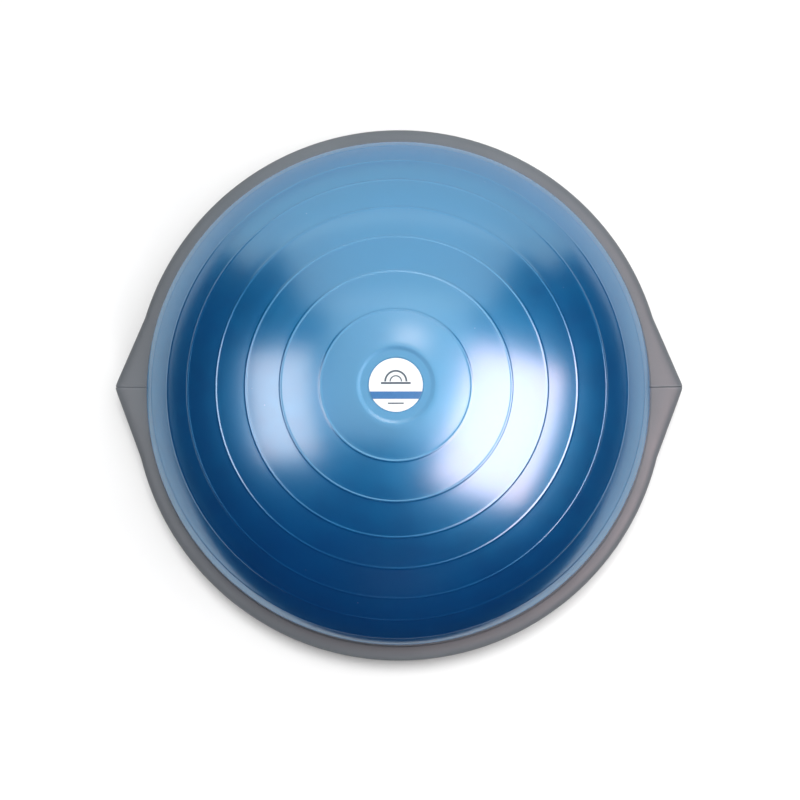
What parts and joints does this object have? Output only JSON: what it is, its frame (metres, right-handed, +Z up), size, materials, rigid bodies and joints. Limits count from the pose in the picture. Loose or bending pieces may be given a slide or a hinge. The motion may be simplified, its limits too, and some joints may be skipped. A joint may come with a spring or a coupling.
{
  "type": "balance dome trainer",
  "caption": "Half-ball balance trainer: an air-filled vinyl dome with raised rings, clamped to a round rigid platform with two pointed grip ears and a push-in air plug underneath.",
  "frame": {"origin": "centre of the platform on the floor, under the crown of the dome", "axes": "+Z up through the crown of the dome, +X square to the plane that mirrors one ear onto the other, +Y away from the air plug"},
  "size_m": [0.6804, 0.6352, 0.2462],
  "materials": {
    "dome_vinyl": "smooth glossy pearl-blue blown vinyl",
    "rim_plastic": "fine matte moulded grey plastic",
    "pan_plastic": "fine matte moulded dark grey plastic",
    "label_print": "white printed vinyl disc with a blue band and a plain pictogram",
    "pad_rubber": "matte ribbed black rubber",
    "valve_vinyl": "satin soft vinyl",
    "plug_vinyl": "satin off-white vinyl",
    "screw_steel": "zinc-plated steel"
  },
  "bodies": {
    "root": {"base_pan": "pan_plastic", "deck_plate": "pan_plastic", "rim_half_front": "rim_plastic", "rim_half_rear": "rim_plastic", "valve_seat": "valve_vinyl", "centre_pad": "pad_rubber", "outer_pad_1": "pad_rubber", "outer_pad_2": "pad_rubber", "outer_pad_3": "pad_rubber", "outer_pad_4": "pad_rubber", "inner_pad_1": "pad_rubber", "inner_pad_2": "pad_rubber", "inner_pad_3": "pad_rubber", "inner_pad_4": "pad_rubber", "rim_screw_01": "screw_steel", "rim_screw_02": "screw_steel", "rim_screw_03": "screw_steel", "rim_screw_04": "screw_steel", "rim_screw_05": "screw_steel", "rim_screw_06": "screw_steel", "rim_screw_07": "screw_steel", "rim_screw_08": "screw_steel", "rim_screw_09": "screw_steel", "rim_screw_10": "screw_steel", "rim_screw_11": "screw_steel", "rim_screw_12": "screw_steel"},
    "dome": {"dome_bladder": "dome_vinyl", "crown_label": "label_print"},
    "plug": {"air_plug": "plug_vinyl"}
  },
  "joints": [
    {"name": "dome_press", "type": "slide", "parent": "root", "child": "dome", "axis": [0, 0, -1], "range_m": [0, 0.045], "stiffness_N_per_m": 14000, "springref_m": -0.008, "deforming": ["dome_bladder"]},
    {"name": "plug_pull", "type": "slide", "parent": "root", "child": "plug", "axis": [0, 0, -1], "range_m": [0, 0.022]}
  ]
}
